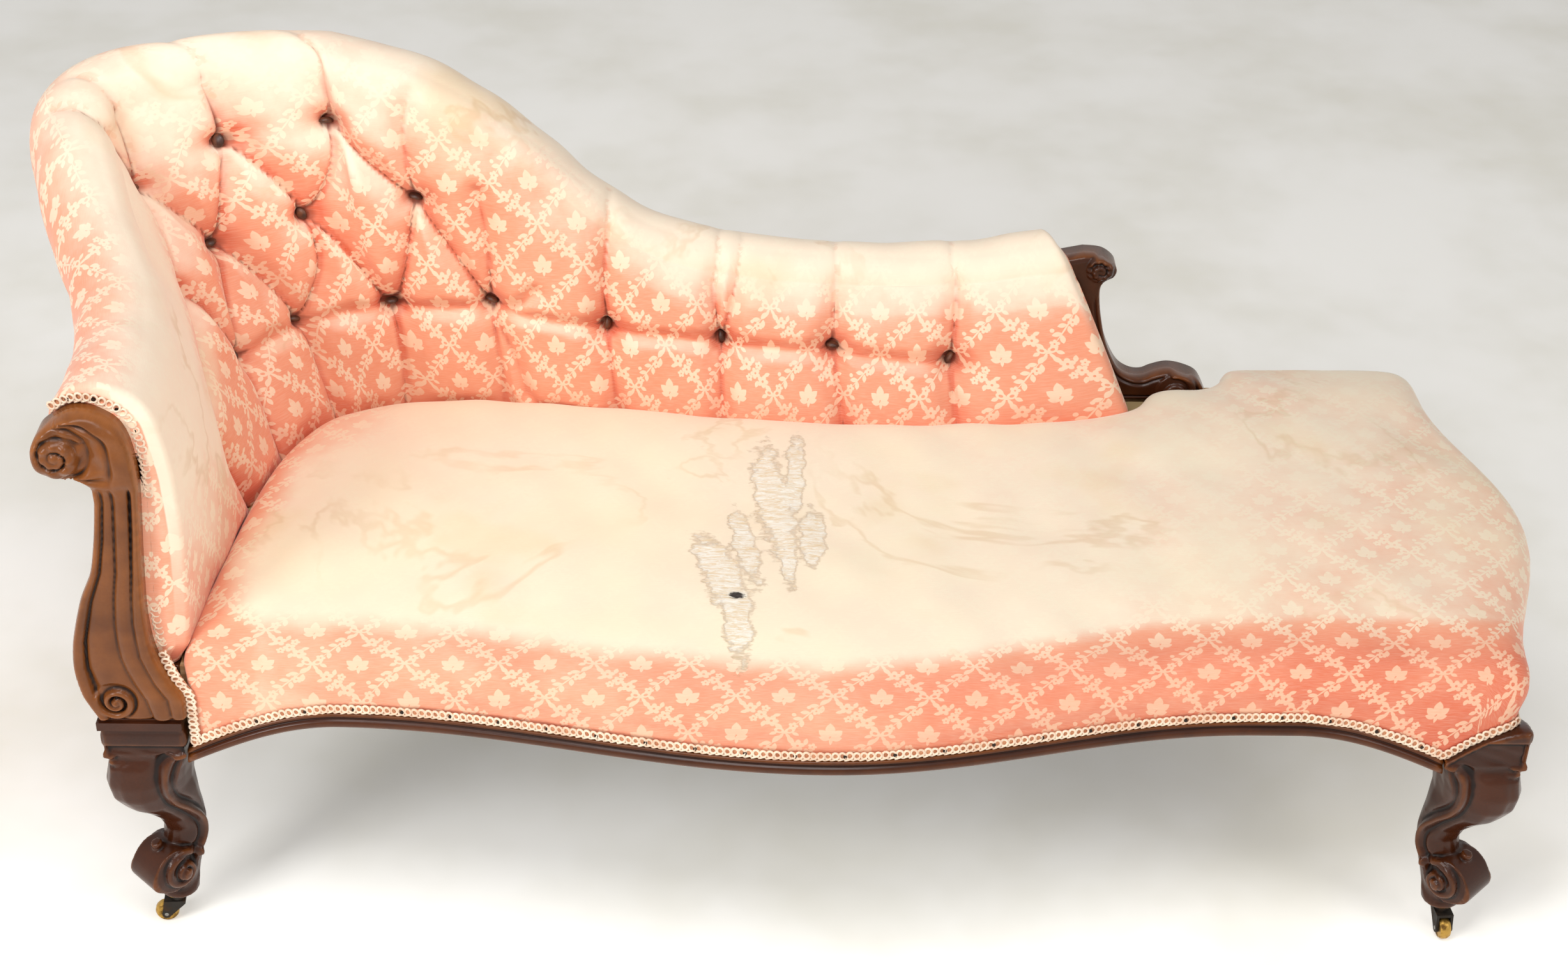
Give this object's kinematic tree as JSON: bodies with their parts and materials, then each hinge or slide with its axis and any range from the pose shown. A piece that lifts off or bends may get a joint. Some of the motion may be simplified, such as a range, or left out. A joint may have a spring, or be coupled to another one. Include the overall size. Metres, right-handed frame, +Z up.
{
  "type": "fainting couch",
  "caption": "Long couch for reclining, with a buttoned back that sweeps round one end, a scrolled arm, carved cabriole legs and castors.",
  "frame": {"origin": "floor level, under the middle of the couch's bounding box", "axes": "+X to the low foot end, +Y to the back, +Z up; the front faces -Y"},
  "size_m": [1.8304, 0.7659, 0.9008],
  "materials": {
    "mahogany": "old french polish, dark in the grooves",
    "beech": "bare wood",
    "brocade": "coral silk brocade with a cream floral lozenge, faded",
    "button_leather": "dark brown",
    "gimp": "cream scroll braid",
    "tack_steel": "blued",
    "screw_steel": "dull",
    "webbing": "jute",
    "spring_steel": "dull",
    "bottom_cloth": "black cloth",
    "castor_brass": "tarnished",
    "castor_iron": "dark",
    "axle_steel": "dull"
  },
  "bodies": {
    "couch": {"front_rail": "beech", "foot_end_rail": "beech", "rear_rail": "beech", "head_end_rail": "beech", "cross_stretcher": "beech", "corner_braces": "beech", "brace_screws": "screw_steel", "front_moulding": "mahogany", "foot_end_moulding": "mahogany", "front_left_leg": "mahogany", "front_right_leg": "mahogany", "rear_left_leg": "mahogany", "rear_right_leg": "mahogany", "arm_facing": "mahogany", "facing_plate": "mahogany", "back_terminal": "mahogany", "show_wood_screws": "screw_steel", "back_top_rail": "beech", "back_post_head": "beech", "back_post_middle": "beech", "back_post_foot": "beech", "back_stay_rails": "beech", "arm_post": "beech", "head_end_post": "beech", "head_corner_post": "beech", "head_top_rail": "beech", "seat_webbing": "webbing", "seat_springs": "spring_steel", "spring_canvas": "webbing", "back_webbing": "webbing", "seat_upholstery": "brocade", "back_upholstery": "brocade", "buttons": "button_leather", "outside_back_cover": "brocade", "outside_head_cover": "brocade", "bottom_cloth": "bottom_cloth", "front_gimp": "gimp", "foot_end_gimp": "gimp", "facing_gimp": "gimp", "gimp_tacks": "tack_steel", "castor_socket_front_left": "castor_brass", "castor_socket_front_right": "castor_brass", "castor_socket_rear_left": "castor_brass", "castor_socket_rear_right": "castor_brass"},
    "castor_horn_front_left": {"castor_horn_front_left": "castor_iron", "castor_axle_front_left": "axle_steel"},
    "castor_wheel_front_left": {"castor_wheel_front_left": "castor_brass"},
    "castor_horn_front_right": {"castor_horn_front_right": "castor_iron", "castor_axle_front_right": "axle_steel"},
    "castor_wheel_front_right": {"castor_wheel_front_right": "castor_brass"},
    "castor_horn_rear_left": {"castor_horn_rear_left": "castor_iron", "castor_axle_rear_left": "axle_steel"},
    "castor_wheel_rear_left": {"castor_wheel_rear_left": "castor_brass"},
    "castor_horn_rear_right": {"castor_horn_rear_right": "castor_iron", "castor_axle_rear_right": "axle_steel"},
    "castor_wheel_rear_right": {"castor_wheel_rear_right": "castor_brass"}
  },
  "joints": [
    {"name": "castor_swivel_front_left", "type": "hinge", "parent": "couch", "child": "castor_horn_front_left", "pos_m": [-0.72741, -0.262, 0.06], "axis": [0, 0, 1], "continuous": true},
    {"name": "castor_roll_front_left", "type": "hinge", "parent": "castor_horn_front_left", "child": "castor_wheel_front_left", "pos_m": [-0.74236, -0.26331, 0.014], "axis": [0.0872, -0.9962, 0], "continuous": true},
    {"name": "castor_swivel_front_right", "type": "hinge", "parent": "couch", "child": "castor_horn_front_right", "pos_m": [0.80859, -0.262, 0.06], "axis": [0, 0, 1], "continuous": true},
    {"name": "castor_roll_front_right", "type": "hinge", "parent": "castor_horn_front_right", "child": "castor_wheel_front_right", "pos_m": [0.80989, -0.27694, 0.014], "axis": [0.9962, 0.0872, 0], "continuous": true},
    {"name": "castor_swivel_rear_left", "type": "hinge", "parent": "couch", "child": "castor_horn_rear_left", "pos_m": [-0.73701, 0.323, 0.06], "axis": [0, 0, 1], "continuous": true},
    {"name": "castor_roll_rear_left", "type": "hinge", "parent": "castor_horn_rear_left", "child": "castor_wheel_rear_left", "pos_m": [-0.73188, 0.33709, 0.014], "axis": [-0.9397, 0.342, 0], "continuous": true},
    {"name": "castor_swivel_rear_right", "type": "hinge", "parent": "couch", "child": "castor_horn_rear_right", "pos_m": [0.80859, 0.323, 0.06], "axis": [0, 0, 1], "continuous": true},
    {"name": "castor_roll_rear_right", "type": "hinge", "parent": "castor_horn_rear_right", "child": "castor_wheel_rear_right", "pos_m": [0.82268, 0.32813, 0.014], "axis": [-0.342, 0.9397, 0], "continuous": true}
  ]
}
